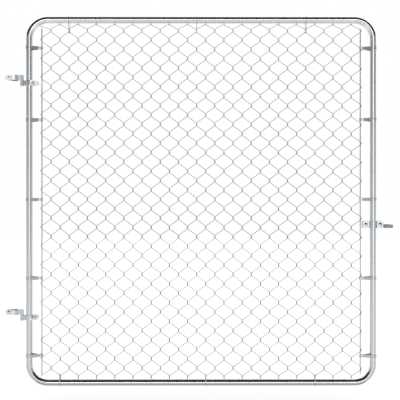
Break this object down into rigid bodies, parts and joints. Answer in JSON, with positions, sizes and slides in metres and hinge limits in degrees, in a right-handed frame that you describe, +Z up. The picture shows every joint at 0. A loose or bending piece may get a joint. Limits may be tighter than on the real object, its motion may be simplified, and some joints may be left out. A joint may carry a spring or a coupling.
{
  "type": "livestock panel gate",
  "caption": "Round-cornered tube gate filled with chain-link mesh, hung from a post on two strap-and-pin hinges and held shut by a drop-over fork latch.",
  "frame": {"origin": "centre of the lower post clamp, on the axis of the post tube that the gate hangs from", "axes": "+X along the gate from the hinges to the fork latch; +Y from the front to the back; +Z up the post"},
  "size_m": [1.9166, 0.05, 1.8352],
  "materials": {
    "galvanised_tube": "satin",
    "galvanised_wire": "satin",
    "tension_rod": "satin",
    "pressed_strap": "satin",
    "hinge_pin": "satin",
    "latch_steel": "satin",
    "zinc_fastener": "gloss"
  },
  "bodies": {
    "post_side": {"upper_post_hinge_strap": "pressed_strap", "lower_post_hinge_strap": "pressed_strap", "upper_hinge_pin": "hinge_pin", "lower_hinge_pin": "hinge_pin", "post_hinge_bolts": "zinc_fastener", "post_hinge_washers": "zinc_fastener", "post_hinge_nuts": "zinc_fastener"},
    "gate_leaf": {"frame_upper_u": "galvanised_tube", "frame_lower_u": "galvanised_tube", "frame_splice_sleeves": "galvanised_tube", "chain_link_wires_even": "galvanised_wire", "chain_link_wires_odd": "galvanised_wire", "tension_bar_hinge_side": "tension_rod", "tension_bar_latch_side": "tension_rod", "tension_bands_hinge_side": "pressed_strap", "tension_bands_latch_side": "pressed_strap", "tension_band_rivets": "zinc_fastener", "top_rail_ties": "galvanised_wire", "bottom_rail_ties": "galvanised_wire", "upper_frame_hinge_strap": "pressed_strap", "lower_frame_hinge_strap": "pressed_strap", "frame_hinge_bolts": "zinc_fastener", "frame_hinge_washers": "zinc_fastener", "frame_hinge_nuts": "zinc_fastener", "latch_clamp_front": "pressed_strap", "latch_clamp_back": "pressed_strap", "latch_clamp_bolt": "zinc_fastener", "latch_clamp_nut": "zinc_fastener", "latch_pivot_bolt": "zinc_fastener", "latch_pivot_nut": "zinc_fastener"},
    "latch_fork": {"latch_fork": "latch_steel"}
  },
  "joints": [
    {"name": "gate_swing", "type": "hinge", "parent": "post_side", "child": "gate_leaf", "pos_m": [0.0362, 0, 0], "axis": [0, 0, 1], "range_deg": [-120, 120]},
    {"name": "fork_lift", "type": "hinge", "parent": "gate_leaf", "child": "latch_fork", "pos_m": [1.81265, 0, 0.4345], "axis": [0, -1, 0], "range_deg": [0, 100]}
  ]
}
